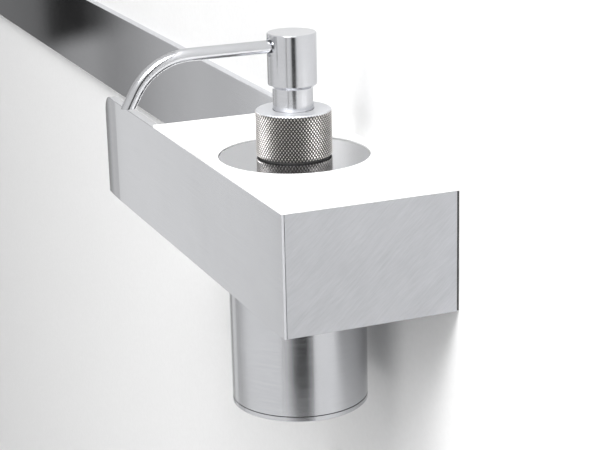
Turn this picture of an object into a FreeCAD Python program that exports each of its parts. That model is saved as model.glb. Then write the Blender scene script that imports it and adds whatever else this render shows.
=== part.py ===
"""Wall mounted soap dispenser: a flat-bar rail and box that carry a lift-out pump bottle.

Millimetres. The wall is the plane Y = 0 and the room is on the -Y side. +Z is up, and +X points
along the wall towards the closed end of the box. The origin lies on the wall at the centre of the
four rail holes behind the bottle, so the bottle's axis is the line X = 0, Y = BOTTLE_Y.
"""
import FreeCAD, Part
import math
import os

from FreeCAD import Vector

TOUCH = 1e-6                # two levels closer than this are the same
OVER = 1.0                  # how far a cutter runs past the face it opens

# ---- flat-bar frame ---------------------------------------------------------------------------
BAR_HEIGHT = 60.0           # all three bars stand on edge with this height
BAR_THICKNESS = 5.0
BOX_LENGTH = 188.0          # closed end to the open end of the box, centred on the bottle
RAIL_LENGTH = 995.0         # wall bar, from the inside of the end plate
FRONT_BAR_LENGTH = 284.0    # front bar, which runs on past the box
NOSE_LENGTH = 24.0          # free end of the front bar, eased back towards the wall
NOSE_SAG = 0.8              # outer face set back at the tip
FREE_CORNER_RADIUS = 11.0   # upper corner of the free end, seen from the front
MITRE_BLUNT = 1.2           # flat edge left outside the mitre at the corner
MITRE_GAP = 0.25
EDGE_BREAK = 0.3            # small chamfer on exposed bar edges
WALL_SEAL_THICKNESS = 1.2
WALL_SEAL_INSET = 0.4

# ---- wall fixings -----------------------------------------------------------------------------
WALL_HOLE_RADIUS = 2.6
WALL_HOLE_COUNTERSINK_RADIUS = 5.0
WALL_HOLE_PITCH_X = 120.0
WALL_HOLE_PITCH_Z = 30.0
FAR_HOLES_FROM_END = 16.0
DRIVER_HOLE_RADIUS = 6.5    # in the tray, in line with the wall holes

# ---- top plate and the steel tray below it ----------------------------------------------------
TOP_PROUD = 1.5             # white plate's cover, above the bars
TOP_PLUG_DEPTH = 6.0        # the part of it that drops between the bars
TOP_PLUG_CLEARANCE = 0.2
TOP_EDGE_BREAK = 0.3
LID_CLEARANCE = 0.3         # radial, lid in its recess
LID_SINK = 0.5              # lid's face below the plate's face
WELL_CLEARANCE = 0.5        # radial, bottle in the plate's hole
TRAY_THICKNESS = 2.0
TRAY_HOLE_CLEARANCE = 1.2
TRAY_FLANGE_ABOVE_EDGE = 10.0   # flanges on the bars, above the bars' lower edge
TRAY_FAR_ABOVE_EDGE = 1.0       # flange at the open end of the box
TRAY_BEND_INNER_RADIUS = 0.5
TRAY_CORNER_RELIEF = 4.0
SCREW_RADIUS = 2.0
SCREW_HEAD_RADIUS = 3.75
SCREW_SKIN = 0.6            # bar left past the end of a tapped hole
SCREW_CLEARANCE = 0.1
SCREW_HEX_FLATS = 2.5
SCREW_HEX_DEPTH = 1.4
SCREW_TIP_ROOM = 0.4
TRAY_SCREW_FROM_END = 16.0   # along the bars, from each end of the box
TRAY_SCREW_FROM_BAR = 15.0   # across the end plate, from the inner face of each bar

# ---- bottle -----------------------------------------------------------------------------------
LID_OVERHANG = 2.9          # radial, past the bottle's wall
LID_TO_BAR = 1.5            # lid's rim to the bar beside it, seen from above
LID_THICKNESS = 3.0
LID_EDGE_BREAK = 0.3
BOTTLE_DIAMETER = 71.2
BOTTLE_WALL = 1.2
BOTTLE_HEIGHT = 128.4       # lid's underside to the bottom of the base
BASE_RIM = 2.6
BASE_FLOOR = 3.0
BASE_GROOVE = 0.5           # height of the seal seen between body and base
BASE_SEAL_INSET = 0.5
BASE_SPIGOT_HEIGHT = 6.0
BASE_SPIGOT_WALL = 2.5
BASE_EDGE_BREAK = 0.5
CLOSE_FIT = 0.05            # radial clearance of pieces that are pushed together
NECK_DIAMETER = 30.0
NECK_WALL = 3.0
NECK_RISE = 12.5            # above the lid
NECK_FLANGE_WIDTH = 4.0     # radial
NECK_FLANGE_THICKNESS = 2.0

# ---- collar and pump closure ------------------------------------------------------------------
GASKET_THICKNESS = 0.6
GASKET_INSET = 0.9
COLLAR_WALL = 4.4           # radial, outside the thread
COLLAR_HEIGHT = 23.5
COLLAR_CHAMFER = 0.8
MOVING_CLEARANCE = 0.3      # radial, between pieces that turn or slide past each other
SEAL_THICKNESS = 1.0
BARREL_FLANGE_THICKNESS = 1.5
CLOSURE_INSET = 0.7         # radial, inside the neck's outer wall
SEAL_INNER_LAND = 1.5       # radial, seal's reach inside the neck's bore
SLEEVE_DIAMETER = 20.5
SLEEVE_WALL = 1.5
SLEEVE_FLANGE_THICKNESS = 1.2
SLEEVE_OVERLAP = 3.5        # length of sleeve hidden in the head at rest
STOP_CLEARANCE = 0.1        # axial, under the collar's inner step

# ---- pump -------------------------------------------------------------------------------------
STROKE = 10.0
STROKE_MARGIN = 1.4         # head's lower edge to the collar when pressed
HEAD_WALL = 1.95
HEAD_BOTTOM_CHAMFER = 1.6
HEAD_TOP_CHAMFER = 0.5
INSERT_ROOM = 1.0           # sleeve's end to the insert when pressed
INSERT_FLANGE_THICKNESS = 2.5
INSERT_HUB_WALL = 2.0
HUB_ROOM = 2.5              # hub to the stem guide when pressed
STEM_DIAMETER = 6.0
STEM_BORE = 2.6
STEM_TOP_INSET = 2.0
STEM_SLOT_WIDTH = 0.8
STEM_SLOT_DEPTH = 1.0
PISTON_LENGTH = 9.0
PISTON_LIP = 1.5
PISTON_LIP_WIDTH = 1.2      # radial
PISTON_FLOOR = 1.1
PISTON_PORT = 2.0
PISTON_TOP_ROOM = 1.0
GUIDE_FLANGE_THICKNESS = 3.5
GUIDE_PLUG_LENGTH = 6.5
BARREL_BORE = 12.8
BARREL_WALL = 1.1
BARREL_LENGTH = 46.0        # flange to the floor that carries the spring
BARREL_TAPER_HEIGHT = 6.0
BARREL_SHOULDER_DIAMETER = 8.4
BARREL_FLOOR_DEPTH = 2.0
INLET_BALL_DIAMETER = 4.0
INLET_CHAMBER_DIAMETER = 5.2
INLET_CHAMBER_DEPTH = 7.4
INLET_BORE = 3.0
INLET_TRAVEL = 1.2
OUTLET_BALL_DIAMETER = 3.0
OUTLET_CHAMBER_DIAMETER = 3.9
OUTLET_TRAVEL = 1.0
BALL_GAP = 0.05
VALVE_STOP_GAP = 0.2
CAGE_THICKNESS = 2.0
CAGE_PEG_DIAMETER = 2.4
CAGE_PORT_DIAMETER = 1.6
CAGE_PORT_LAND = 0.2        # radial, between the peg and a port
CAGE_PORTS = 4
SPIGOT_DIAMETER = 4.9
SPIGOT_LENGTH = 12.0
DIP_TUBE_WALL = 0.75
DIP_TUBE_FLOOR_GAP = 3.4
DIP_TUBE_CUT_ANGLE = 20.0
SPRING_WIRE = 0.9
SPRING_SIDE_GAP = 1.35      # radial, coil to the barrel
SPRING_COILS = 7
SPRING_SEAT_GAP = 0.02      # axial, at each end

# ---- spout ------------------------------------------------------------------------------------
SPOUT_DIAMETER = 6.6
SPOUT_WALL = 0.9
SPOUT_BELOW_TOP = 6.3       # tube's axis below the head's top
SPOUT_ABOVE_CAVITY = 0.9    # metal left between the tube and the head's cavity
SPOUT_STRAIGHT = 53.8       # bottle's axis to the start of the bend
SPOUT_BEND_RADIUS = 32.7
SPOUT_BEND_ANGLE = 61.0
SPOUT_TAIL = 7.3
SPOUT_INNER_END = 4.5       # tube's hidden end, from the bottle's axis
SPOUT_HOLE_OVERRUN = 2.6
SPOUT_SPOTFACE_WIDTH = 1.7  # radial, round the tube
SPOUT_SPOTFACE_DEPTH = 1.1
HEAD_PASSAGE_RADIUS = 2.0

# ---- sizes, levels and centres that follow from the ones above --------------------------------
LID_DIAMETER = BOTTLE_DIAMETER + 2 * LID_OVERHANG
BOX_DEPTH = LID_DIAMETER + 2 * (LID_TO_BAR + BAR_THICKNESS)
NECK_BORE = NECK_DIAMETER - 2 * NECK_WALL
CLOSURE_DIAMETER = NECK_DIAMETER - 2 * CLOSURE_INSET
COLLAR_DIAMETER = NECK_DIAMETER + 2 * COLLAR_WALL
BARREL_DIAMETER = BARREL_BORE + 2 * BARREL_WALL
SPRING_MEAN_DIAMETER = BARREL_BORE - 2 * SPRING_SIDE_GAP - SPRING_WIRE
HEAD_BORE = SLEEVE_DIAMETER + 2 * MOVING_CLEARANCE
HEAD_DIAMETER = HEAD_BORE + 2 * HEAD_WALL
BOTTLE_Y = -BOX_DEPTH / 2
NEAR_X = BOX_LENGTH / 2
FAR_X = -BOX_LENGTH / 2
END_PLATE_X = NEAR_X - BAR_THICKNESS
FRONT_INNER_Y = -BOX_DEPTH + BAR_THICKNESS
RAIL_FACE_Y = -BAR_THICKNESS
BAR_TOP = BAR_HEIGHT / 2
PLATE_TOP = BAR_TOP + TOP_PROUD
LID_TOP = PLATE_TOP - LID_SINK
LID_BOTTOM = LID_TOP - LID_THICKNESS
PLUG_BOTTOM = BAR_TOP - TOP_PLUG_DEPTH
TRAY_FLOOR = PLUG_BOTTOM - TRAY_THICKNESS
TAPPED_DEPTH = BAR_THICKNESS - SCREW_SKIN
SCREW_LENGTH = TRAY_THICKNESS + TAPPED_DEPTH - SCREW_TIP_ROOM
SCREW_HEAD_DEPTH = SCREW_HEAD_RADIUS - SCREW_RADIUS     # 90 degree countersink
BOTTLE_BOTTOM = LID_BOTTOM - BOTTLE_HEIGHT
BODY_BOTTOM = BOTTLE_BOTTOM + BASE_RIM + BASE_GROOVE
COLLAR_BOTTOM = LID_TOP + GASKET_THICKNESS
COLLAR_TOP = COLLAR_BOTTOM + COLLAR_HEIGHT
NECK_TOP = LID_TOP + NECK_RISE
BARREL_FLANGE_BOTTOM = NECK_TOP + SEAL_THICKNESS
BARREL_TOP = BARREL_FLANGE_BOTTOM + BARREL_FLANGE_THICKNESS
SLEEVE_FLANGE_TOP = BARREL_TOP + SLEEVE_FLANGE_THICKNESS
HEAD_BOTTOM = COLLAR_TOP + STROKE + STROKE_MARGIN
SLEEVE_TOP = HEAD_BOTTOM + SLEEVE_OVERLAP
INSERT_FLANGE_BOTTOM = SLEEVE_TOP + STROKE + INSERT_ROOM
CAVITY_TOP = INSERT_FLANGE_BOTTOM + INSERT_FLANGE_THICKNESS
GUIDE_TOP = BARREL_TOP + GUIDE_FLANGE_THICKNESS
HUB_BOTTOM = GUIDE_TOP + STROKE + HUB_ROOM
GUIDE_BOTTOM = BARREL_TOP - GUIDE_PLUG_LENGTH
PISTON_TOP = GUIDE_BOTTOM - PISTON_TOP_ROOM
PISTON_BOTTOM = PISTON_TOP - PISTON_LENGTH
OUTLET_SEAT = PISTON_BOTTOM + PISTON_FLOOR
BARREL_FLOOR = BARREL_TOP - BARREL_LENGTH
INLET_SEAT = BARREL_FLOOR - INLET_CHAMBER_DEPTH
SHOULDER = BARREL_FLOOR - BARREL_FLOOR_DEPTH - BARREL_TAPER_HEIGHT
SPRING_BOTTOM = BARREL_FLOOR + CAGE_THICKNESS
SPOUT_Z = CAVITY_TOP + SPOUT_ABOVE_CAVITY + SPOUT_DIAMETER / 2
HEAD_TOP = SPOUT_Z + SPOUT_BELOW_TOP


def seated_ball_centre(seat_level, ball_radius, port_radius):
    """Height of a ball's centre when it rests on the rim of a round port."""
    return seat_level + math.sqrt(ball_radius ** 2 - port_radius ** 2) + BALL_GAP


OUTLET_BALL_Z = seated_ball_centre(OUTLET_SEAT, OUTLET_BALL_DIAMETER / 2, PISTON_PORT / 2)
INLET_BALL_Z = seated_ball_centre(INLET_SEAT, INLET_BALL_DIAMETER / 2, INLET_BORE / 2)
STEM_BOTTOM = OUTLET_BALL_Z + OUTLET_BALL_DIAMETER / 2 + OUTLET_TRAVEL + VALVE_STOP_GAP
STEM_TOP = CAVITY_TOP - STEM_TOP_INSET - INSERT_FLANGE_THICKNESS / 2


# ---- shape helpers ----------------------------------------------------------------------------
def block(x_low, x_high, y_low, y_high, z_low, z_high):
    """Box between two corners."""
    corner = Vector(x_low, y_low, z_low)
    return Part.makeBox(x_high - x_low, y_high - y_low, z_high - z_low, corner)


def disc(radius, z_low, z_high):
    """Upright cylinder on the bottle's axis."""
    return Part.makeCylinder(radius, z_high - z_low, Vector(0, BOTTLE_Y, z_low), Vector(0, 0, 1))


def ring(outer_radius, inner_radius, z_low, z_high):
    """Upright tube on the bottle's axis."""
    return disc(outer_radius, z_low, z_high).cut(disc(inner_radius, z_low - OVER, z_high + OVER))


def turned(profile):
    """Solid of revolution about the bottle's axis from (radius, height) points."""
    points = [Vector(radius, BOTTLE_Y, height) for radius, height in profile]
    face = Part.Face(Part.makePolygon(points + points[:1]))
    return face.revolve(Vector(0, BOTTLE_Y, 0), Vector(0, 0, 1), 360)


def upright_prism(outline, z_low, z_high):
    """Vertical extrusion of a closed wire drawn at Z = 0."""
    return Part.Face(outline).extrude(Vector(0, 0, z_high - z_low)).translated(Vector(0, 0, z_low))


def chamfer_where(shape, size, keep):
    """Chamfer each edge that keep() accepts."""
    edges = [edge for edge in shape.Edges if keep(edge)]
    return shape.makeChamfer(size, edges)


def is_level_at(edge, level):
    """True for an edge that lies wholly at one height."""
    box = edge.BoundBox
    return abs(box.ZMin - level) < TOUCH and abs(box.ZMax - level) < TOUCH


def save(name, shape):
    """Write one node as a STEP file."""
    shape.removeSplitter().exportStep(os.path.join("parts", name + ".step"))


# ---- flat-bar frame ---------------------------------------------------------------------------
def wall_hole_places():
    """(x, z) of the holes that take the wall screws, box group first, then the far pair."""
    half_x = WALL_HOLE_PITCH_X / 2
    half_z = WALL_HOLE_PITCH_Z / 2
    far_x = END_PLATE_X - RAIL_LENGTH + FAR_HOLES_FROM_END
    near_group = [(x, z) for x in (-half_x, half_x) for z in (-half_z, half_z)]
    far_pair = [(far_x, z) for z in (-half_z, half_z)]
    return near_group, far_pair


def countersunk_hole(x, z):
    """Cutter for one wall hole, its countersink on the room side of the rail."""
    into_wall = Vector(0, 1, 0)
    face = Vector(x, RAIL_FACE_Y, z)
    shank_start = face - into_wall * OVER
    shank = Part.makeCylinder(WALL_HOLE_RADIUS, BAR_THICKNESS + 2 * OVER, shank_start, into_wall)
    depth = WALL_HOLE_COUNTERSINK_RADIUS - WALL_HOLE_RADIUS
    cone = Part.makeCone(WALL_HOLE_COUNTERSINK_RADIUS, WALL_HOLE_RADIUS, depth, face, into_wall)
    return shank.fuse(cone)


def screws_along_bar(face_y):
    """Places of the tray screws on the inner face of one long bar."""
    places = (FAR_X + TRAY_SCREW_FROM_END, NEAR_X - TRAY_SCREW_FROM_END)
    return [Vector(x, face_y, 0) for x in places]


def screws_across_end():
    """Places of the tray screws on the inner face of the end plate."""
    places = (FRONT_INNER_Y + TRAY_SCREW_FROM_BAR, RAIL_FACE_Y - TRAY_SCREW_FROM_BAR)
    return [Vector(END_PLATE_X, y, 0) for y in places]


def tapped_hole(point, direction):
    """Blind hole for a tray screw, from the bar's inner face into the bar."""
    return Part.makeCylinder(SCREW_RADIUS + SCREW_CLEARANCE / 2, TAPPED_DEPTH, point, direction)


def wall_rail():
    """Long bar against the wall, with its countersunk and tapped holes."""
    bar = block(END_PLATE_X - RAIL_LENGTH, END_PLATE_X, RAIL_FACE_Y, 0, -BAR_TOP, BAR_TOP)

    def is_long_front_edge(edge):
        box = edge.BoundBox
        return box.YMax < RAIL_FACE_Y + TOUCH and box.XLength > BAR_THICKNESS

    bar = chamfer_where(bar, EDGE_BREAK, is_long_front_edge)
    near_group, far_pair = wall_hole_places()
    for x, z in near_group + far_pair:
        bar = bar.cut(countersunk_hole(x, z))
    for point in screws_along_bar(RAIL_FACE_Y):
        bar = bar.cut(tapped_hole(point, Vector(0, 1, 0)))
    return bar


def front_bar_outline():
    """Plan of the front bar: mitred at the box's corner, its outer face eased back at the free end."""
    outer_y = -BOX_DEPTH
    mitre_y = outer_y + MITRE_BLUNT
    mitre_x = NEAR_X - (BAR_THICKNESS - MITRE_BLUNT)
    tip_x = NEAR_X - FRONT_BAR_LENGTH
    tip_y = outer_y + NOSE_SAG
    nose_radius = (NOSE_LENGTH ** 2 + NOSE_SAG ** 2) / (2 * NOSE_SAG)
    centre = Vector(tip_x + NOSE_LENGTH, outer_y + nose_radius, 0)
    half_turn = math.asin(NOSE_LENGTH / nose_radius) / 2
    start = Vector(tip_x + NOSE_LENGTH, outer_y, 0)
    tip = Vector(tip_x, tip_y, 0)
    middle = centre + Vector(-math.sin(half_turn), -math.cos(half_turn), 0) * nose_radius
    corners = [tip, Vector(tip_x, FRONT_INNER_Y, 0), Vector(mitre_x, FRONT_INNER_Y, 0)]
    corners += [Vector(NEAR_X, mitre_y, 0), Vector(NEAR_X, outer_y, 0), start]
    edges = [Part.LineSegment(a, b).toShape() for a, b in zip(corners, corners[1:])]
    edges.append(Part.Arc(start, middle, tip).toShape())
    return Part.Wire(Part.__sortEdges__(edges))


def free_corner_cutter():
    """What is cut away to round the free end's upper corner."""
    tip_x = NEAR_X - FRONT_BAR_LENGTH
    radius = FREE_CORNER_RADIUS
    centre_x = tip_x + radius
    centre_z = BAR_TOP - radius
    y_low = -BOX_DEPTH - OVER
    y_high = FRONT_INNER_Y + OVER
    corner = block(tip_x - OVER, centre_x, y_low, y_high, centre_z, BAR_TOP + OVER)
    start = Vector(centre_x, y_low - OVER, centre_z)
    return corner.cut(Part.makeCylinder(radius, y_high - y_low + 2 * OVER, start, Vector(0, 1, 0)))


def front_bar():
    """Outer bar of the box, which runs on past it as the towel arm."""
    bar = upright_prism(front_bar_outline(), -BAR_TOP, BAR_TOP)

    def is_long_level_edge(edge):
        is_level = is_level_at(edge, -BAR_TOP) or is_level_at(edge, BAR_TOP)
        return is_level and edge.Length > 2 * BAR_THICKNESS

    bar = chamfer_where(bar, EDGE_BREAK, is_long_level_edge).cut(free_corner_cutter())
    for point in screws_along_bar(FRONT_INNER_Y):
        bar = bar.cut(tapped_hole(point, Vector(0, -1, 0)))
    return bar


def end_plate():
    """Short bar that closes the box, mitred to the front bar."""
    outer_y = -BOX_DEPTH + MITRE_BLUNT + MITRE_GAP
    mitre_x = NEAR_X - (BAR_THICKNESS - MITRE_BLUNT) + MITRE_GAP
    outline = [(NEAR_X, outer_y), (mitre_x, FRONT_INNER_Y), (END_PLATE_X, FRONT_INNER_Y)]
    outline += [(END_PLATE_X, -WALL_SEAL_THICKNESS), (NEAR_X, -WALL_SEAL_THICKNESS)]
    points = [Vector(x, y, 0) for x, y in outline]
    plate = upright_prism(Part.makePolygon(points + points[:1]), -BAR_TOP, BAR_TOP)

    def is_outer_level_edge(edge):
        box = edge.BoundBox
        return box.XMin > NEAR_X - TOUCH and box.YLength > BAR_THICKNESS

    # The rail's end meets the plate's inner face, so only the outer edges are broken.
    plate = chamfer_where(plate, EDGE_BREAK, is_outer_level_edge)
    for point in screws_across_end():
        plate = plate.cut(tapped_hole(point, Vector(1, 0, 0)))
    return plate


def wall_seal():
    """Dark strip between the end plate's edge and the wall."""
    inset = WALL_SEAL_INSET
    low = -BAR_TOP + inset
    return block(END_PLATE_X + inset, NEAR_X - inset, -WALL_SEAL_THICKNESS, 0, low, BAR_TOP - inset)


# ---- top plate, tray and its screws -----------------------------------------------------------
def top_plate():
    """White plate on the box, with a plug between the bars and a recess and well for the bottle."""
    cover = block(FAR_X, NEAR_X, -BOX_DEPTH, 0, BAR_TOP, PLATE_TOP)
    cover = chamfer_where(cover, TOP_EDGE_BREAK, lambda edge: is_level_at(edge, PLATE_TOP))
    gap = TOP_PLUG_CLEARANCE
    plug = block(FAR_X, END_PLATE_X - gap, FRONT_INNER_Y + gap, RAIL_FACE_Y - gap, PLUG_BOTTOM, BAR_TOP)
    plate = cover.fuse(plug)
    recess = disc(LID_DIAMETER / 2 + LID_CLEARANCE, LID_BOTTOM, PLATE_TOP + OVER)
    well = disc(BOTTLE_DIAMETER / 2 + WELL_CLEARANCE, PLUG_BOTTOM - OVER, LID_BOTTOM + OVER)
    return plate.cut(recess).cut(well)


def flange_screw_places():
    """(point on the bar's face, direction into the bar) of each tray screw."""
    places = [(point, Vector(0, 1, 0)) for point in screws_along_bar(RAIL_FACE_Y)]
    places += [(point, Vector(0, -1, 0)) for point in screws_along_bar(FRONT_INNER_Y)]
    places += [(point, Vector(1, 0, 0)) for point in screws_across_end()]
    return places


def tray_screw_cutter(point, direction):
    """Clearance hole and countersink in the tray's flange."""
    start = point - direction * TRAY_THICKNESS
    narrow = SCREW_RADIUS + SCREW_CLEARANCE
    wide = SCREW_HEAD_RADIUS + SCREW_CLEARANCE
    shank = Part.makeCylinder(narrow, TRAY_THICKNESS + OVER, start, direction)
    cone = Part.makeCone(wide, narrow, SCREW_HEAD_DEPTH, start, direction)
    return shank.fuse(cone)


def carrier_tray():
    """Bent steel tray: a web under the top plate and a flange down each side."""
    t = TRAY_THICKNESS
    low = -BAR_TOP + TRAY_FAR_ABOVE_EDGE
    outside = block(FAR_X, END_PLATE_X, FRONT_INNER_Y, RAIL_FACE_Y, low, PLUG_BOTTOM)
    top_edges = [edge for edge in outside.Edges if is_level_at(edge, PLUG_BOTTOM)]
    outside = outside.makeFillet(TRAY_BEND_INNER_RADIUS + t, top_edges)
    inside = block(FAR_X + t, END_PLATE_X - t, FRONT_INNER_Y + t, RAIL_FACE_Y - t, low - OVER, TRAY_FLOOR)
    floor_edges = [edge for edge in inside.Edges if is_level_at(edge, TRAY_FLOOR)]
    tray = outside.cut(inside.makeFillet(TRAY_BEND_INNER_RADIUS, floor_edges))
    # The flanges on the bars stop above the far one, and every upright corner is open.
    relief = TRAY_CORNER_RELIEF
    trim_x = FAR_X + t + relief
    y_low = FRONT_INNER_Y - OVER
    y_high = RAIL_FACE_Y + OVER
    flange_bottom = -BAR_TOP + TRAY_FLANGE_ABOVE_EDGE
    tray = tray.cut(block(trim_x, END_PLATE_X + OVER, y_low, y_high, low - OVER, flange_bottom))
    relief_top = TRAY_FLOOR - TRAY_BEND_INNER_RADIUS
    for x in (FAR_X + t, END_PLATE_X - relief):
        for y in (FRONT_INNER_Y - OVER, RAIL_FACE_Y - relief):
            tray = tray.cut(block(x, x + relief + OVER, y, y + relief + OVER, low - OVER, relief_top))
    hole_radius = BOTTLE_DIAMETER / 2 + TRAY_HOLE_CLEARANCE
    tray = tray.cut(disc(hole_radius, TRAY_FLOOR - OVER, PLUG_BOTTOM + OVER))
    for x, z in wall_hole_places()[0]:
        start = Vector(x, RAIL_FACE_Y - t - OVER, z)
        tray = tray.cut(Part.makeCylinder(DRIVER_HOLE_RADIUS, t + 2 * OVER, start, Vector(0, 1, 0)))
    for point, direction in flange_screw_places():
        tray = tray.cut(tray_screw_cutter(point, direction))
    return tray


def hexagon_socket(start, direction):
    """Cutter for a hexagon socket that opens at start and runs along direction."""
    radius = SCREW_HEX_FLATS / math.sqrt(3)
    turns = [math.radians(60 * corner) for corner in range(7)]
    corners = [Vector(radius * math.cos(turn), radius * math.sin(turn), 0) for turn in turns]
    prism = Part.Face(Part.makePolygon(corners)).extrude(Vector(0, 0, SCREW_HEX_DEPTH))
    prism.Placement = FreeCAD.Placement(start, FreeCAD.Rotation(Vector(0, 0, 1), direction))
    return prism


def tray_screw(point, direction):
    """Countersunk socket screw, its head flush with the flange's inner face."""
    start = point - direction * TRAY_THICKNESS
    head = Part.makeCone(SCREW_HEAD_RADIUS, SCREW_RADIUS, SCREW_HEAD_DEPTH, start, direction)
    shank_start = start + direction * SCREW_HEAD_DEPTH
    shank = Part.makeCylinder(SCREW_RADIUS, SCREW_LENGTH - SCREW_HEAD_DEPTH, shank_start, direction)
    return head.fuse(shank).cut(hexagon_socket(start, direction))


def tray_screws():
    """All the tray's screws, which are alike."""
    return Part.makeCompound([tray_screw(point, direction) for point, direction in flange_screw_places()])


# ---- bottle -----------------------------------------------------------------------------------
def bottle_body():
    """Plain tube between the lid and the base."""
    outer = BOTTLE_DIAMETER / 2
    return ring(outer, outer - BOTTLE_WALL, BODY_BOTTOM, LID_BOTTOM)


def bottle_base():
    """Turned base with a thin rim outside and a spigot up inside the body."""
    outer = BOTTLE_DIAMETER / 2
    spigot = outer - BOTTLE_WALL - CLOSE_FIT
    inner = spigot - BASE_SPIGOT_WALL
    edge = BASE_EDGE_BREAK
    rim_top = BOTTLE_BOTTOM + BASE_RIM
    spigot_top = BODY_BOTTOM + BASE_SPIGOT_HEIGHT
    floor = BOTTLE_BOTTOM + BASE_FLOOR
    profile = [(0, BOTTLE_BOTTOM), (outer - edge, BOTTLE_BOTTOM), (outer, BOTTLE_BOTTOM + edge)]
    profile += [(outer, rim_top), (spigot, rim_top), (spigot, spigot_top)]
    profile += [(inner, spigot_top), (inner, floor), (0, floor)]
    return turned(profile)


def base_seal():
    """Dark ring in the groove between the body and the base."""
    outer = BOTTLE_DIAMETER / 2 - BASE_SEAL_INSET
    inner = BOTTLE_DIAMETER / 2 - BOTTLE_WALL
    return ring(outer, inner, BOTTLE_BOTTOM + BASE_RIM, BODY_BOTTOM)


def lid_disc():
    """Polished disc that carries the bottle in the top plate's recess."""
    outer = LID_DIAMETER / 2
    bore = NECK_DIAMETER / 2 + CLOSE_FIT
    edge = LID_EDGE_BREAK
    profile = [(bore, LID_BOTTOM), (outer, LID_BOTTOM), (outer, LID_TOP - edge)]
    profile += [(outer - edge, LID_TOP), (bore, LID_TOP)]
    return turned(profile)


def bottle_neck():
    """Threaded bush through the lid, its flange under the lid."""
    flange_bottom = LID_BOTTOM - NECK_FLANGE_THICKNESS
    neck = disc(NECK_DIAMETER / 2, flange_bottom, NECK_TOP)
    neck = neck.fuse(disc(NECK_DIAMETER / 2 + NECK_FLANGE_WIDTH, flange_bottom, LID_BOTTOM))
    return neck.cut(disc(NECK_BORE / 2, flange_bottom - OVER, NECK_TOP + OVER))


# ---- collar and closure -----------------------------------------------------------------------
def collar_gasket():
    """Thin dark washer between the lid and the collar."""
    bore = NECK_DIAMETER / 2 + MOVING_CLEARANCE
    return ring(COLLAR_DIAMETER / 2 - GASKET_INSET, bore, LID_TOP, COLLAR_BOTTOM)


def collar():
    """Collar nut over the neck, with an inner step that clamps the pump's flanges."""
    outer = COLLAR_DIAMETER / 2
    bore = NECK_DIAMETER / 2 + MOVING_CLEARANCE
    hole = SLEEVE_DIAMETER / 2 + MOVING_CLEARANCE
    step = SLEEVE_FLANGE_TOP + STOP_CLEARANCE
    edge = COLLAR_CHAMFER
    profile = [(bore, COLLAR_BOTTOM), (outer - edge, COLLAR_BOTTOM), (outer, COLLAR_BOTTOM + edge)]
    profile += [(outer, COLLAR_TOP - edge), (outer - edge, COLLAR_TOP), (hole, COLLAR_TOP)]
    profile += [(hole, step), (bore, step)]
    return turned(profile)


def closure_seal():
    """Seal between the neck's end and the barrel's flange."""
    bore = NECK_BORE / 2 - SEAL_INNER_LAND
    return ring(CLOSURE_DIAMETER / 2, bore, NECK_TOP, BARREL_FLANGE_BOTTOM)


def neck_sleeve():
    """Bright tube that rises from the collar into the head."""
    outer = SLEEVE_DIAMETER / 2
    inner = outer - SLEEVE_WALL
    flange = ring(CLOSURE_DIAMETER / 2, inner, BARREL_TOP, SLEEVE_FLANGE_TOP)
    return flange.fuse(ring(outer, inner, BARREL_TOP, SLEEVE_TOP))


def stem_guide():
    """Flanged bush in the barrel's mouth that the stem slides through."""
    bore = STEM_DIAMETER / 2 + CLOSE_FIT
    plug = BARREL_BORE / 2 - CLOSE_FIT
    flange = SLEEVE_DIAMETER / 2 - SLEEVE_WALL - CLOSE_FIT
    profile = [(bore, GUIDE_BOTTOM), (plug, GUIDE_BOTTOM), (plug, BARREL_TOP), (flange, BARREL_TOP)]
    profile += [(flange, GUIDE_TOP), (bore, GUIDE_TOP)]
    return turned(profile)


# ---- pump -------------------------------------------------------------------------------------
def pump_barrel():
    """Flanged barrel that hangs in the neck, with the inlet seat and a spigot for the dip tube."""
    outer = BARREL_DIAMETER / 2
    bore = BARREL_BORE / 2
    spigot = SPIGOT_DIAMETER / 2
    spigot_bottom = SHOULDER - SPIGOT_LENGTH
    taper_top = BARREL_FLOOR - BARREL_FLOOR_DEPTH
    flange = CLOSURE_DIAMETER / 2
    chamber = INLET_CHAMBER_DIAMETER / 2
    port = INLET_BORE / 2
    outside = [(port, spigot_bottom), (spigot, spigot_bottom), (spigot, SHOULDER)]
    outside += [(BARREL_SHOULDER_DIAMETER / 2, SHOULDER), (outer, taper_top)]
    outside += [(outer, BARREL_FLANGE_BOTTOM), (flange, BARREL_FLANGE_BOTTOM), (flange, BARREL_TOP)]
    inside = [(bore, BARREL_TOP), (bore, BARREL_FLOOR), (chamber, BARREL_FLOOR)]
    inside += [(chamber, INLET_SEAT), (port, INLET_SEAT)]
    return turned(outside + inside)


def ball(diameter, height):
    """Valve ball on the bottle's axis."""
    return Part.makeSphere(diameter / 2, Vector(0, BOTTLE_Y, height))


def ball_cage():
    """Ported disc that carries the spring and limits the inlet ball's rise."""
    peg_bottom = INLET_BALL_Z + INLET_BALL_DIAMETER / 2 + INLET_TRAVEL + VALVE_STOP_GAP
    cage = disc(BARREL_BORE / 2 - CLOSE_FIT, BARREL_FLOOR, SPRING_BOTTOM)
    cage = cage.fuse(disc(CAGE_PEG_DIAMETER / 2, peg_bottom, BARREL_FLOOR))
    reach = CAGE_PEG_DIAMETER / 2 + CAGE_PORT_LAND + CAGE_PORT_DIAMETER / 2
    for port in range(CAGE_PORTS):
        turn = 2 * math.pi * port / CAGE_PORTS
        start = Vector(reach * math.cos(turn), BOTTLE_Y + reach * math.sin(turn), BARREL_FLOOR - OVER)
        cutter = Part.makeCylinder(CAGE_PORT_DIAMETER / 2, CAGE_THICKNESS + 2 * OVER, start)
        cage = cage.cut(cutter)
    return cage


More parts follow.
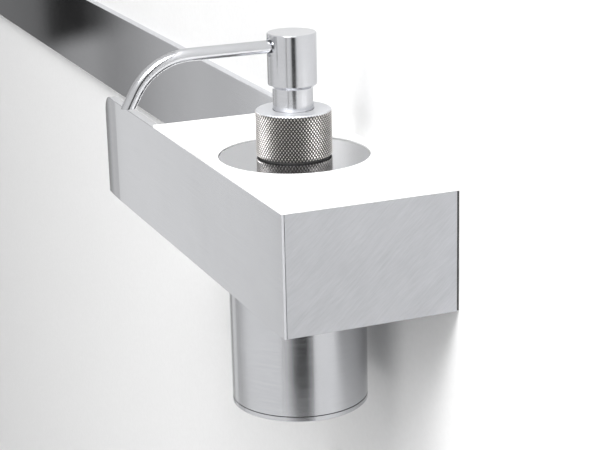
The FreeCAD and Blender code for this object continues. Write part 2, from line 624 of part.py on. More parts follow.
def dip_tube():
    """Tube pushed over the barrel's spigot, its foot cut on a slant."""
    inner = SPIGOT_DIAMETER / 2 + CLOSE_FIT
    outer = inner + DIP_TUBE_WALL
    bottom = BOTTLE_BOTTOM + BASE_FLOOR + DIP_TUBE_FLOOR_GAP
    tube = ring(outer, inner, bottom, SHOULDER)
    rise = 2 * outer * math.tan(math.radians(DIP_TUBE_CUT_ANGLE))
    start_y = BOTTLE_Y - outer - OVER
    wedge = [Vector(-outer, start_y, bottom), Vector(outer, start_y, bottom)]
    wedge.append(Vector(outer, start_y, bottom + rise))
    cutter = Part.Face(Part.makePolygon(wedge + wedge[:1])).extrude(Vector(0, 2 * (outer + OVER), 0))
    return tube.cut(cutter)


def pump_spring():
    """Open-coil return spring between the ball cage and the piston."""
    wire = SPRING_WIRE / 2
    height = PISTON_BOTTOM - SPRING_BOTTOM - SPRING_WIRE - 2 * SPRING_SEAT_GAP
    radius = SPRING_MEAN_DIAMETER / 2
    helix = Part.makeHelix(height / SPRING_COILS, height, radius)
    rise = height / SPRING_COILS / (2 * math.pi * radius)
    tangent = Vector(0, 1, rise)
    section = Part.Wire(Part.makeCircle(wire, Vector(radius, 0, 0), tangent))
    coil = Part.Wire(helix.Edges).makePipeShell([section], True, True)
    return coil.translated(Vector(0, BOTTLE_Y, SPRING_BOTTOM + wire + SPRING_SEAT_GAP))


def piston():
    """Two-lipped piston with the outlet seat, pushed on to the stem."""
    lip = BARREL_BORE / 2 - CLOSE_FIT
    waist = lip - PISTON_LIP_WIDTH
    port = PISTON_PORT / 2
    chamber = OUTLET_CHAMBER_DIAMETER / 2
    socket = STEM_DIAMETER / 2 + CLOSE_FIT
    lower_lip = PISTON_BOTTOM + PISTON_LIP
    upper_lip = PISTON_TOP - PISTON_LIP
    outside = [(port, PISTON_BOTTOM), (lip, PISTON_BOTTOM), (lip, lower_lip), (waist, lower_lip)]
    outside += [(waist, upper_lip), (lip, upper_lip), (lip, PISTON_TOP)]
    inside = [(socket, PISTON_TOP), (socket, STEM_BOTTOM), (chamber, STEM_BOTTOM)]
    inside += [(chamber, OUTLET_SEAT), (port, OUTLET_SEAT)]
    return turned(outside + inside)


def stem():
    """Hollow stem from the piston to the head, slotted so that the outlet ball can't seal it."""
    tube = ring(STEM_DIAMETER / 2, STEM_BORE / 2, STEM_BOTTOM, STEM_TOP)
    y_low = BOTTLE_Y - STEM_SLOT_WIDTH / 2
    y_high = BOTTLE_Y + STEM_SLOT_WIDTH / 2
    reach = OUTLET_CHAMBER_DIAMETER / 2
    slot_top = STEM_BOTTOM + STEM_SLOT_DEPTH
    return tube.cut(block(-reach, reach, y_low, y_high, STEM_BOTTOM - OVER, slot_top))


# ---- head and spout ---------------------------------------------------------------------------
def head_insert():
    """Moulded hub in the head that grips the stem."""
    hub = disc(STEM_DIAMETER / 2 + INSERT_HUB_WALL, HUB_BOTTOM, CAVITY_TOP)
    flange = disc(HEAD_BORE / 2 - CLOSE_FIT, INSERT_FLANGE_BOTTOM, CAVITY_TOP)
    socket = disc(STEM_DIAMETER / 2 + CLOSE_FIT, HUB_BOTTOM - OVER, STEM_TOP)
    passage = disc(HEAD_PASSAGE_RADIUS, STEM_TOP - OVER, CAVITY_TOP + OVER)
    return hub.fuse(flange).cut(socket).cut(passage)


def pump_head():
    """Turned head with a cavity for the insert and a hole and spotface for the spout."""
    outer = HEAD_DIAMETER / 2
    low = HEAD_BOTTOM_CHAMFER
    top = HEAD_TOP_CHAMFER
    profile = [(0, HEAD_BOTTOM), (outer - low, HEAD_BOTTOM), (outer, HEAD_BOTTOM + low)]
    profile += [(outer, HEAD_TOP - top), (outer - top, HEAD_TOP), (0, HEAD_TOP)]
    head = turned(profile)
    head = head.cut(disc(HEAD_BORE / 2, HEAD_BOTTOM - OVER, CAVITY_TOP))
    head = head.cut(disc(HEAD_PASSAGE_RADIUS, CAVITY_TOP - OVER, SPOUT_Z))
    outwards = Vector(0, -1, 0)
    start = Vector(0, BOTTLE_Y + SPOUT_HOLE_OVERRUN, SPOUT_Z)
    hole_length = outer + SPOUT_HOLE_OVERRUN + OVER
    hole = Part.makeCylinder(SPOUT_DIAMETER / 2 + CLOSE_FIT, hole_length, start, outwards)
    face_start = Vector(0, BOTTLE_Y - outer + SPOUT_SPOTFACE_DEPTH, SPOUT_Z)
    spotface_radius = SPOUT_DIAMETER / 2 + SPOUT_SPOTFACE_WIDTH
    spotface = Part.makeCylinder(spotface_radius, SPOUT_SPOTFACE_DEPTH + OVER, face_start, outwards)
    return head.cut(hole).cut(spotface)


def spout_path():
    """Centre line: straight out from the head, one bend down, and a short straight tail."""
    turn = math.radians(SPOUT_BEND_ANGLE)
    bend_y = BOTTLE_Y - SPOUT_STRAIGHT
    radius = SPOUT_BEND_RADIUS

    def on_bend(angle):
        return Vector(0, bend_y - radius * math.sin(angle), SPOUT_Z - radius * (1 - math.cos(angle)))

    start = Vector(0, BOTTLE_Y - SPOUT_INNER_END, SPOUT_Z)
    bend_end = on_bend(turn)
    heading = Vector(0, -math.cos(turn), -math.sin(turn))
    # The tail runs on below the level cut that forms the mouth.
    tail_end = bend_end + heading * (SPOUT_TAIL + SPOUT_DIAMETER)
    mouth_level = bend_end.z + heading.z * SPOUT_TAIL
    straight = Part.LineSegment(start, on_bend(0)).toShape()
    bend = Part.Arc(on_bend(0), on_bend(turn / 2), bend_end).toShape()
    tail = Part.LineSegment(bend_end, tail_end).toShape()
    return Part.Wire([straight, bend, tail]), mouth_level


def spout_tube():
    """Bent tube from the head, its mouth cut level."""
    path, mouth_level = spout_path()
    start = Vector(0, BOTTLE_Y - SPOUT_INNER_END, SPOUT_Z)
    solids = []
    for radius in (SPOUT_DIAMETER / 2, SPOUT_DIAMETER / 2 - SPOUT_WALL):
        section = Part.Wire(Part.makeCircle(radius, start, Vector(0, -1, 0)))
        solids.append(path.makePipeShell([section], True, True))
    tube = solids[0].cut(solids[1])
    reach = 2 * (SPOUT_STRAIGHT + SPOUT_BEND_RADIUS)
    below = block(-reach, reach, BOTTLE_Y - reach, BOTTLE_Y, mouth_level - reach, mouth_level)
    return tube.cut(below)


def main():
    """Build every node and write its STEP file."""
    os.makedirs("parts", exist_ok=True)
    makers = [wall_rail, front_bar, end_plate, wall_seal, top_plate, carrier_tray, tray_screws]
    makers += [bottle_body, bottle_base, base_seal, lid_disc, bottle_neck]
    makers += [collar_gasket, collar, closure_seal, neck_sleeve, stem_guide]
    makers += [pump_barrel, ball_cage, dip_tube, pump_spring, piston, stem]
    makers += [head_insert, pump_head, spout_tube]
    for maker in makers:
        save(maker.__name__, maker())
    save("inlet_ball", ball(INLET_BALL_DIAMETER, INLET_BALL_Z))
    save("outlet_ball", ball(OUTLET_BALL_DIAMETER, OUTLET_BALL_Z))


main()
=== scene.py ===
import math

import bmesh
import bpy
from bpy.props import FloatProperty, FloatVectorProperty, IntProperty, PointerProperty
from mathutils import Matrix, Vector


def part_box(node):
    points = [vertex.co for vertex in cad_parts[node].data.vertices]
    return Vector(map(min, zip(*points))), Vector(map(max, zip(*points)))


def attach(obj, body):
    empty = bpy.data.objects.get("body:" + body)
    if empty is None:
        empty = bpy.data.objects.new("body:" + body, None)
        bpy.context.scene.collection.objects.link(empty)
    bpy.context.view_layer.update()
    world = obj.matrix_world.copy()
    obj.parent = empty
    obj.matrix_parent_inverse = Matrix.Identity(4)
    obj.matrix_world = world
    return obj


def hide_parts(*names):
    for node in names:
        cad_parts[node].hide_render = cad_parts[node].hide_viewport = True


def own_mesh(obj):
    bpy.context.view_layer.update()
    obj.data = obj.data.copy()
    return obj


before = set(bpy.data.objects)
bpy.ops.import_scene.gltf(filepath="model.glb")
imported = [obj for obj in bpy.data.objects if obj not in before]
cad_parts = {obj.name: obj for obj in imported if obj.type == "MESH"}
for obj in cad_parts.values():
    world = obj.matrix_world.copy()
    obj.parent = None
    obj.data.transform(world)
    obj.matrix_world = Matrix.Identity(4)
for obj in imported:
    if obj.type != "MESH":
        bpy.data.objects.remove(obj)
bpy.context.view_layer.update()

bl_info = {
    "name": "Wall soap dispenser finishes",
    "version": (1, 0, 0),
    "blender": (4, 5, 0),
    "location": "View3D > Sidebar > Dispenser",
    "description": "Finishes, knurled collar and studio for the wall mounted soap dispenser",
    "category": "Object",
}

MM = 0.001
AXIS = (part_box("collar")[0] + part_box("collar")[1]) / 2      # on the bottle's upright axis
COLLAR_CHAMFER = 0.8 * MM       # as on the CAD collar
VERTICAL_SMEAR = 0.25           # turn of the brushed gloss, as a share of a full turn
WHITE = (1.0, 1.0, 1.0, 1.0)
EVEN = (1.0, 1.0, 1.0)

KEY_LIGHT_PLACE = (0.68, -0.75, 1.5)    # high up, out past the end plate
KEY_LIGHT_SIZE = (1.0, 0.9)
SIDE_LIGHT_PLACE = (0.5, -1.9, 0.7)     # on the room's side
SIDE_LIGHT_SIZE = (1.2, 1.2)

WALL_LEFT, WALL_RIGHT, WALL_TOP = -4.0, 3.0, 2.2
WALL_OPENING_INSET = 1 * MM     # the rail covers the opening's edge by this much
WALL_GAP = 0.1 * MM             # between the rail's back and the wall
FLOOR_REACH = 30.0

# Upright cards that only show as reflections. The levels are pairs: a place across the card, 0 at
# the first corner and 1 at the second, and its brightness. Low levels hold below a soft edge, which
# runs from edge_start to edge_stop in height at the first corner and rises by climb across the card.
REFLECTED_CARDS = (
    # Behind the camera: dark in the middle, and wider low down, where the bottle shows it.
    {"name": "camera side card", "corners": ((1.337, -1.426, -0.9), (1.892, 0.281, 1.6)),
     "levels": ((0.0, 1.05), (0.34, 0.95), (0.42, 0.05), (0.66, 0.05), (0.76, 0.95), (1.0, 1.0)),
     "low_levels": ((0.0, 0.80), (0.10, 0.60), (0.24, 0.20), (0.32, 0.0), (0.65, 0.0), (0.70, 0.22),
                    (0.86, 0.40), (1.0, 0.62)),
     "edge_start": -0.56, "edge_stop": -0.44, "climb": 0.0},
    # On the room's side: even, darker towards the far end.
    {"name": "room side card", "corners": ((-2.4, -1.6, -0.9), (1.3, -1.6, 1.6)),
     "levels": ((0.0, 0.66), (0.15, 0.70), (0.32, 0.80), (0.44, 0.98), (0.6, 1.0), (1.0, 0.95))},
    # Towards the far end: the two long bars show it at a low angle.
    {"name": "far end card", "corners": ((-2.6, -0.30, -0.9), (-0.40, -0.30, 0.4)),
     "levels": ((0.0, 0.22), (0.332, 0.17), (0.340, 0.02), (0.45, 0.02), (0.49, 0.10), (0.53, 0.30),
                (0.60, 0.52), (0.67, 0.66), (0.745, 0.58), (0.775, 0.90), (1.0, 0.84)),
     "low_levels": ((0.0, 0.22), (0.332, 0.17), (0.340, 0.26), (0.40, 0.38), (0.46, 0.42), (0.50, 0.30),
                    (0.53, 0.34), (0.60, 0.52), (0.67, 0.66), (0.745, 0.58), (0.775, 0.90), (1.0, 0.84)),
     "edge_start": -0.45, "edge_stop": -0.41, "climb": 0.5},
)


# ---- sizes and colours a user would change ------------------------------------------------------
class SteelSettings(bpy.types.PropertyGroup):
    """Colours and gloss of the steel pieces."""

    bar_colour: FloatVectorProperty(
        name="Bar colour", description="Satin flat bar", subtype="COLOR", size=3,
        min=0, max=1, default=(0.60, 0.607, 0.630))
    end_colour: FloatVectorProperty(
        name="End plate colour", description="Cross-brushed end plate", subtype="COLOR", size=3,
        min=0, max=1, default=(0.475, 0.481, 0.50))
    turned_colour: FloatVectorProperty(
        name="Turned colour", description="Bottle, sleeve and head", subtype="COLOR", size=3,
        min=0, max=1, default=(0.545, 0.551, 0.570))
    knurl_colour: FloatVectorProperty(
        name="Knurl colour", description="Collar", subtype="COLOR", size=3,
        min=0, max=1, default=(0.44, 0.425, 0.41))
    lid_colour: FloatVectorProperty(
        name="Lid colour", description="Polished lid", subtype="COLOR", size=3,
        min=0, max=1, default=(0.42, 0.425, 0.44))
    spout_colour: FloatVectorProperty(
        name="Spout colour", description="Polished spout tube", subtype="COLOR", size=3,
        min=0, max=1, default=(0.48, 0.485, 0.50))
    bar_roughness: FloatProperty(
        name="Bar roughness", description="Roughness of the satin bars, seen square on",
        subtype="FACTOR", min=0, max=1, default=0.30)
    grazing_roughness: FloatProperty(
        name="Grazing roughness", description="Roughness of the satin bars, seen at a low angle",
        subtype="FACTOR", min=0, max=1, default=0.08)
    turned_roughness: FloatProperty(
        name="Turned roughness", description="Mean roughness of the turned pieces",
        subtype="FACTOR", min=0, max=1, default=0.19)


class KnurlSettings(bpy.types.PropertyGroup):
    """Diamond knurl of the collar."""

    around: IntProperty(
        name="Diamonds around", description="Number of diamonds round the collar",
        min=24, max=200, default=70)
    rows: IntProperty(
        name="Half rows", description="Half-diamond rows up the collar; an even number",
        min=8, max=60, default=20)
    depth: FloatProperty(
        name="Depth", description="Depth of the grooves", unit="LENGTH", subtype="DISTANCE",
        min=0.0, max=0.001, default=0.00078)


class StageSettings(bpy.types.PropertyGroup):
    """Camera, wall, floor and lights."""

    camera_place: FloatVectorProperty(
        name="Camera place", description="Where the camera stands", unit="LENGTH",
        subtype="TRANSLATION", size=3, default=(0.793185, -0.364263, 0.251957))
    camera_bearing: FloatProperty(
        name="Bearing", description="Turn from looking along +Y towards -X", unit="ROTATION",
        subtype="ANGLE", default=math.radians(67.945))
    camera_dip: FloatProperty(
        name="Dip", description="Angle below the horizon", unit="ROTATION", subtype="ANGLE",
        default=math.radians(16.802))
    camera_roll: FloatProperty(
        name="Roll", description="Turn about the line of sight", unit="ROTATION",
        subtype="ANGLE", default=math.radians(-1.366))
    focal_length: FloatProperty(
        name="Focal length", description="For a sensor 36 mm wide", subtype="NONE",
        min=10, max=400, default=104.48)
    floor_level: FloatProperty(
        name="Floor level", description="Height of the floor", unit="LENGTH",
        subtype="DISTANCE", default=-0.9)
    paint: FloatVectorProperty(
        name="Wall paint", description="Wall and floor", subtype="COLOR", size=3,
        min=0, max=1, default=(0.86, 0.86, 0.86))
    room_light: FloatProperty(
        name="Room light", description="Strength of the even light that falls on dull surfaces",
        min=0, max=10, default=0.27)
    reflected_room: FloatProperty(
        name="Reflected room", description="Brightness of the room as the steel reflects it",
        min=0, max=10, default=0.90)
    key_light: FloatProperty(
        name="Key light", description="Overhead softbox", unit="POWER", min=0, max=1000,
        default=50.0)
    side_light: FloatProperty(
        name="Side light", description="Upright softbox on the room's side", unit="POWER",
        min=0, max=1000, default=9.0)


# ---- node trees ---------------------------------------------------------------------------------
class Bench:
    """A node tree while it is being wired."""

    def __init__(self, tree):
        self.tree = tree
        self.count = 0

    def add(self, kind, settings=None, **sockets):
        """New node; each socket is given a value or another node's output."""
        node = self.tree.nodes.new("ShaderNode" + kind)
        node.location = (self.count * 180, 0)
        self.count += 1
        for name, value in (settings or {}).items():
            setattr(node, name, value)
        for name, value in sockets.items():
            self.feed(node.inputs[name.replace("_", " ")], value)
        return node

    def feed(self, socket, value):
        """Link an output to a socket, or set its value."""
        if isinstance(value, bpy.types.NodeSocket):
            self.tree.links.new(value, socket)
        else:
            socket.default_value = value

    def show(self, shader):
        """The shader becomes the surface."""
        output = self.add("OutputMaterial")
        self.tree.links.new(shader.outputs[0], output.inputs["Surface"])

    def vector(self, operation, first, second=None):
        """One step on vectors."""
        node = self.add("VectorMath", {"operation": operation})
        self.feed(node.inputs[0], first)
        if second is not None:
            self.feed(node.inputs[1], second)
        return node.outputs

    def maths(self, operation, first, second=0.0):
        """One arithmetic step."""
        node = self.add("Math", {"operation": operation})
        self.feed(node.inputs[0], first)
        self.feed(node.inputs[1], second)
        return node.outputs[0]

    def scaled(self, vector, factors):
        """Vector times factors, part by part."""
        return self.vector("MULTIPLY", vector, factors)[0]

    def blend(self, first, share, second):
        """First and second added, with the given share of the first."""
        return self.maths("ADD", self.maths("MULTIPLY", first, share),
                          self.maths("MULTIPLY", second, 1.0 - share))

    def spread(self, value, low, high, start=0.0, stop=1.0):
        """Value from start..stop brought to low..high."""
        node = self.add("MapRange", None, Value=value, From_Min=start, From_Max=stop,
                        To_Min=low, To_Max=high)
        return node.outputs["Result"]

    def tint(self, factor, first, second):
        """Colour between two others."""
        node = self.add("Mix", {"data_type": "RGBA"})
        self.feed(node.inputs[0], factor)
        self.feed(node.inputs[6], first)
        self.feed(node.inputs[7], second)
        return node.outputs[2]

    def place(self):
        """Position in the object's own metres."""
        return self.add("TexCoord").outputs["Object"]

    def across_and_up(self, corners):
        """Place across (0..1) and height on an upright card given by two opposite corners."""
        (x0, y0, z0), (x1, y1, z1) = corners
        run = math.hypot(x1 - x0, y1 - y0)
        heading = ((x1 - x0) / run, (y1 - y0) / run, 0.0)
        spot = self.vector("SUBTRACT", self.place(), (x0, y0, 0.0))[0]
        along = self.vector("DOT_PRODUCT", spot, heading)["Value"]
        height = self.add("SeparateXYZ", None, Vector=spot).outputs[2]
        return self.maths("DIVIDE", along, run), height

    def profile(self, value, stops):
        """Brightness that follows (place, level) stops."""
        node = self.add("ValToRGB", None, Fac=value)
        ramp = node.color_ramp
        while len(ramp.elements) < len(stops):
            ramp.elements.new(1.0)
        for element, (place, level) in zip(ramp.elements, stops):
            element.position = place
            element.color = (level, level, level, 1.0)
        return node.outputs[0]

    def cloud(self, vector, scale=1.0, detail=2.0, rough=0.5):
        """Soft noise."""
        return self.add("TexNoise", None, Vector=vector, Scale=scale, Detail=detail,
                        Roughness=rough).outputs["Fac"]


def node_group(name, inputs, outputs, build):
    """Shader node group with named sockets, wired by build(bench, inputs) -> {output: socket}."""
    tree = bpy.data.node_groups.new(name, "ShaderNodeTree")
    for label, (kind, value) in inputs.items():
        socket = tree.interface.new_socket(name=label, in_out="INPUT",
                                           socket_type="NodeSocket" + kind)
        if value is not None:
            socket.default_value = value
    for label in outputs:
        kind = "NodeSocketVector" if label == "Vector" else "NodeSocketFloat"
        tree.interface.new_socket(name=label, in_out="OUTPUT", socket_type=kind)
    bench = Bench(tree)
    given = tree.nodes.new("NodeGroupInput")
    result = tree.nodes.new("NodeGroupOutput")
    made = build(bench, given.outputs)
    for label, socket in made.items():
        tree.links.new(socket, result.inputs[label])
    return tree


def build_brushed(bench, given):
    """Fine lines: a noise stretched along the stroke, with a finer one over it."""
    lines = bench.scaled(given["Vector"], given["Stretch"])
    broad = bench.cloud(lines, 1.0, 3.0, 0.65)
    fine = bench.cloud(bench.scaled(lines, (1.3, 3.7, 3.7)), 1.0, 1.0)
    return {"Tone": broad, "Height": bench.blend(broad, 0.6, fine)}


def build_turned(bench, given):
    """Coordinates round the bottle's axis, without a seam: slow round the turn, fast up and out."""
    offset = bench.vector("SUBTRACT", given["Vector"], given["Axis"])[0]
    level = bench.add("SeparateXYZ", None, Vector=offset).outputs[2]
    flat = bench.scaled(offset, (1.0, 1.0, 0.0))
    radius = bench.vector("LENGTH", flat)["Value"]
    around = bench.vector("NORMALIZE", flat)[0]
    heading = bench.add("SeparateXYZ", None, Vector=around)
    along = bench.maths("ADD", level, bench.maths("MULTIPLY", radius, 0.7))
    joined = bench.add("CombineXYZ", None, X=heading.outputs[0], Y=heading.outputs[1], Z=along)
    return {"Vector": bench.scaled(joined.outputs[0], given["Stretch"]), "Radius": radius}


def build_handling(bench, given):
    """Faint marks of handling and wiping: broad clouds with a few finer streaks."""
    broad = bench.cloud(given["Vector"], given["Scale"], 2.0, 0.55)
    finer = bench.cloud(given["Vector"], bench.maths("MULTIPLY", given["Scale"], 6.0), 3.0, 0.6)
    return {"Mask": bench.spread(bench.blend(broad, 0.7, finer), 0.0, 1.0, 0.35, 0.65)}


def build_speckle(bench, given):
    """Fine grain of a moulded or mineral surface."""
    grains = bench.add("TexVoronoi", {"feature": "F1"}, Vector=given["Vector"], Scale=given["Scale"])
    soft = bench.cloud(given["Vector"], given["Scale"], 3.0, 0.6)
    tone = bench.spread(grains.outputs["Distance"], 0.0, 1.0, 0.1, 0.8)
    return {"Tone": tone, "Height": soft}


def make_groups():
    """The effects that several finishes share."""
    vector = ("Vector", None)
    node_group("Brushed lines", {"Vector": vector, "Stretch": ("Vector", EVEN)},
               ("Tone", "Height"), build_brushed)
    node_group("Turned coordinates",
               {"Vector": vector, "Axis": ("Vector", (0.0, 0.0, 0.0)),
                "Stretch": ("Vector", EVEN)}, ("Vector", "Radius"), build_turned)
    node_group("Handling marks", {"Vector": vector, "Scale": ("Float", 20.0)},
               ("Mask",), build_handling)
    node_group("Grain speckle", {"Vector": vector, "Scale": ("Float", 900.0)},
               ("Tone", "Height"), build_speckle)


def placed(bench, name, **sockets):
    """One of the shared groups, placed in a material."""
    node = bench.add("Group", {"node_tree": bpy.data.node_groups[name]})
    for label, value in sockets.items():
        bench.feed(node.inputs[label.replace("_", " ")], value)
    return node


def new_material(name):
    """Empty material and its node tree."""
    material = bpy.data.materials.new(name)
    material.use_nodes = True
    material.node_tree.nodes.clear()
    return material, Bench(material.node_tree)


def finish(name, **uniform):
    """New material with a Principled shader; uniform values sit on the shader's own sockets."""
    material, bench = new_material(name)
    shader = bench.add("BsdfPrincipled", None, **uniform)
    bench.show(shader)
    return material, bench, shader


def bumped(bench, shader, height, distance):
    """Relief of the given height in metres."""
    bump = bench.add("Bump", None, Height=height, Distance=distance, Strength=1.0)
    bench.feed(shader.inputs["Normal"], bump.outputs["Normal"])


def shaded(colour, amount):
    """RGBA of a colour made lighter or darker."""
    return tuple(min(1.0, part * amount) for part in colour[:3]) + (1.0,)


def brushed_steel(name, colour, roughness, stretch, anisotropic, turned=False, grazing=None):
    """Brushed steel: lines in tone, roughness and relief, under faint handling marks.

    With grazing the roughness falls to that value where the steel is seen at a low angle.
    """
    material, bench, shader = finish(name, Metallic=1.0, Anisotropic=anisotropic,
                                     Anisotropic_Rotation=VERTICAL_SMEAR)
    where = bench.place()
    if turned:
        coords = placed(bench, "Turned coordinates", Vector=where, Axis=tuple(AXIS), Stretch=stretch)
        lines = placed(bench, "Brushed lines", Vector=coords.outputs["Vector"], Stretch=EVEN)
    else:
        lines = placed(bench, "Brushed lines", Vector=where, Stretch=stretch)
    marks = placed(bench, "Handling marks", Vector=where, Scale=14.0)
    tone = bench.blend(lines.outputs["Tone"], 0.75, marks.outputs["Mask"])
    bench.feed(shader.inputs["Base Color"], bench.tint(tone, shaded(colour, 0.90), shaded(colour, 1.10)))
    rough = bench.maths("ADD", bench.spread(lines.outputs["Tone"], roughness - 0.05, roughness + 0.05),
                        bench.spread(marks.outputs["Mask"], -0.02, 0.03))
    if grazing is not None:
        facing = bench.add("LayerWeight", None, Blend=0.5).outputs["Facing"]
        rough = bench.maths("MULTIPLY", rough, bench.spread(facing, 1.0, grazing / roughness, 0.4, 0.72))
    bench.feed(shader.inputs["Roughness"], rough)
    bumped(bench, shader, lines.outputs["Height"], 1.2e-6)
    return material


def make_finishes(steel, knurl):
    """Every material of the object, by name."""
    made = {}
    made["bars"] = brushed_steel("Satin bar steel", steel.bar_colour, steel.bar_roughness,
                                 (18.0, 2600.0, 2600.0), anisotropic=0.2,
                                 grazing=steel.grazing_roughness)
    made["end"] = cross_brushed(steel)
    made["turned"] = brushed_steel("Turned steel", steel.turned_colour, steel.turned_roughness,
                                   (2.0, 2.0, 2400.0), anisotropic=0.5, turned=True)
    made["lid"] = polished("Polished lid steel", steel.lid_colour, 0.10, (1.5, 1.5, 1500.0))
    made["spout"] = polished("Polished tube steel", steel.spout_colour, 0.17, (1.0, 1.0, 300.0))
    made["knurl"] = knurled(steel, knurl.depth)
    made["white"] = white_composite()
    made["rubber"] = rubber()
    made["plastic"] = moulded_plastic()
    made["tube"] = milky_tube()
    made["spring"] = drawn_steel()
    return made


def cross_brushed(steel):
    """End plate: two sets of fine crossing strokes that bend a little."""
    material, bench, shader = finish("Cross brushed steel", Metallic=1.0, Anisotropic=0.35,
                                     Anisotropic_Rotation=VERTICAL_SMEAR)
    where = bench.place()
    sway = bench.maths("MULTIPLY", bench.cloud(where, 9.0, 1.0), 0.03)
    parts = bench.add("SeparateXYZ", None, Vector=where)
    y, z = parts.outputs[1], parts.outputs[2]
    rising = bench.add("CombineXYZ", None, Y=bench.maths("ADD", bench.maths("ADD", y, z), sway),
                       Z=bench.maths("SUBTRACT", z, y))
    falling = bench.add("CombineXYZ", None,
                        Y=bench.maths("SUBTRACT", bench.maths("MULTIPLY", y, 0.5), z),
                        Z=bench.maths("ADD", bench.maths("MULTIPLY", z, 0.5), y))
    stroke = placed(bench, "Brushed lines", Vector=rising.outputs[0], Stretch=(1.0, 25.0, 800.0))
    across = placed(bench, "Brushed lines", Vector=falling.outputs[0], Stretch=(1.0, 650.0, 40.0))
    marks = placed(bench, "Handling marks", Vector=where, Scale=22.0)
    tone = bench.maths("ADD", bench.maths("MULTIPLY", stroke.outputs["Tone"], 0.5),
                       bench.maths("MULTIPLY", across.outputs["Tone"], 0.3))
    tone = bench.maths("ADD", tone, bench.maths("MULTIPLY", marks.outputs["Mask"], 0.2))
    colour = steel.end_colour
    bench.feed(shader.inputs["Base Color"], bench.tint(tone, shaded(colour, 0.72), shaded(colour, 1.24)))
    bench.feed(shader.inputs["Roughness"], bench.spread(tone, 0.30, 0.48))
    both = bench.maths("ADD", stroke.outputs["Height"], across.outputs["Height"])
    bumped(bench, shader, both, 1.5e-6)
    return material


def polished(name, colour, roughness, stretch):
    """Polished steel with faint turning lines and wiping marks."""
    material, bench, shader = finish(name, Metallic=1.0, Anisotropic=0.3,
                                     Anisotropic_Rotation=VERTICAL_SMEAR)
    where = bench.place()
    coords = placed(bench, "Turned coordinates", Vector=where, Axis=tuple(AXIS), Stretch=stretch)
    lines = placed(bench, "Brushed lines", Vector=coords.outputs["Vector"], Stretch=EVEN)
    marks = placed(bench, "Handling marks", Vector=where, Scale=30.0)
    bench.feed(shader.inputs["Base Color"],
               bench.tint(lines.outputs["Tone"], shaded(colour, 0.97), shaded(colour, 1.03)))
    rough = bench.maths("ADD", bench.spread(lines.outputs["Tone"], roughness - 0.02, roughness + 0.02),
                        bench.spread(marks.outputs["Mask"], 0.0, 0.03))
    bench.feed(shader.inputs["Roughness"], rough)
    bumped(bench, shader, lines.outputs["Height"], 4e-7)
    return material


def knurled(steel, depth):
    """Knurled steel: light diamonds, dull grooves painted nearly black as painted shade, and a smooth turned
    top whose colour is painted lighter as a painted highlight.
    """
    material, bench, shader = finish("Knurled steel", Metallic=1.0)
    where = bench.place()
    coords = placed(bench, "Turned coordinates", Vector=where, Axis=tuple(AXIS), Stretch=EVEN)
    low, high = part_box("collar")
    outer = (high.x - low.x) / 2
    height = bench.spread(coords.outputs["Radius"], 0.0, 1.0, outer - 0.80 * depth, outer - 0.20 * depth)
    lines = placed(bench, "Brushed lines", Vector=coords.outputs["Vector"], Stretch=(6.0, 6.0, 5200.0))
    marks = placed(bench, "Handling marks", Vector=where, Scale=60.0)
    tone = bench.blend(height, 0.85, lines.outputs["Tone"])
    colour = steel.knurl_colour
    # Painted shade: by radius, the grooves go from the knurl colour down to nearly black, standing in for the
    # shade in the recesses.
    diamonds = bench.tint(tone, shaded(colour, 0.02), shaded(colour, 1.5))
    level = bench.add("SeparateXYZ", None, Vector=where).outputs[2]
    # The top ring takes the turned steel's smooth finish, which is real, in a copy made 15% lighter: a
    # painted highlight on the upward face.
    is_top = bench.maths("GREATER_THAN", level, high.z - COLLAR_CHAMFER + 0.1 * MM)
    bench.feed(shader.inputs["Base Color"],
               bench.tint(is_top, diamonds, shaded(steel.turned_colour, 1.15)))
    rough = bench.maths("ADD", bench.spread(tone, 0.50, 0.38), bench.spread(marks.outputs["Mask"], 0.0, 0.05))
    bench.feed(shader.inputs["Roughness"], rough)
    bumped(bench, shader, lines.outputs["Height"], 2e-6)
    return material


def white_composite():
    """Smooth white mineral composite."""
    material, bench, shader = finish("White composite", IOR=1.5)
    where = bench.place()
    grain = placed(bench, "Grain speckle", Vector=where, Scale=1500.0)
    marks = placed(bench, "Handling marks", Vector=where, Scale=18.0)
    bench.feed(shader.inputs["Base Color"],
               bench.tint(grain.outputs["Tone"], (0.91, 0.91, 0.905, 1), (0.95, 0.95, 0.948, 1)))
    bench.feed(shader.inputs["Roughness"], bench.spread(marks.outputs["Mask"], 0.30, 0.42))
    bumped(bench, shader, grain.outputs["Height"], 4e-6)
    return material


def rubber():
    """Matt black rubber."""
    material, bench, shader = finish("Black rubber", IOR=1.5)
    where = bench.place()
    grain = placed(bench, "Grain speckle", Vector=where, Scale=2200.0)
    bench.feed(shader.inputs["Base Color"],
               bench.tint(grain.outputs["Tone"], (0.018, 0.018, 0.018, 1), (0.045, 0.044, 0.043, 1)))
    bench.feed(shader.inputs["Roughness"], bench.spread(grain.outputs["Height"], 0.55, 0.8))
    bumped(bench, shader, grain.outputs["Height"], 2e-5)
    return material


def moulded_plastic():
    """Natural white polypropylene with a fine moulded grain."""
    material, bench, shader = finish("Moulded plastic", IOR=1.49, Subsurface_Weight=0.1,
                                     Subsurface_Scale=0.002)
    where = bench.place()
    grain = placed(bench, "Grain speckle", Vector=where, Scale=2600.0)
    marks = placed(bench, "Handling marks", Vector=where, Scale=80.0)
    bench.feed(shader.inputs["Base Color"],
               bench.tint(marks.outputs["Mask"], (0.80, 0.80, 0.775, 1), (0.87, 0.87, 0.85, 1)))
    bench.feed(shader.inputs["Roughness"], bench.spread(grain.outputs["Tone"], 0.34, 0.46))
    bumped(bench, shader, grain.outputs["Height"], 6e-6)
    return material


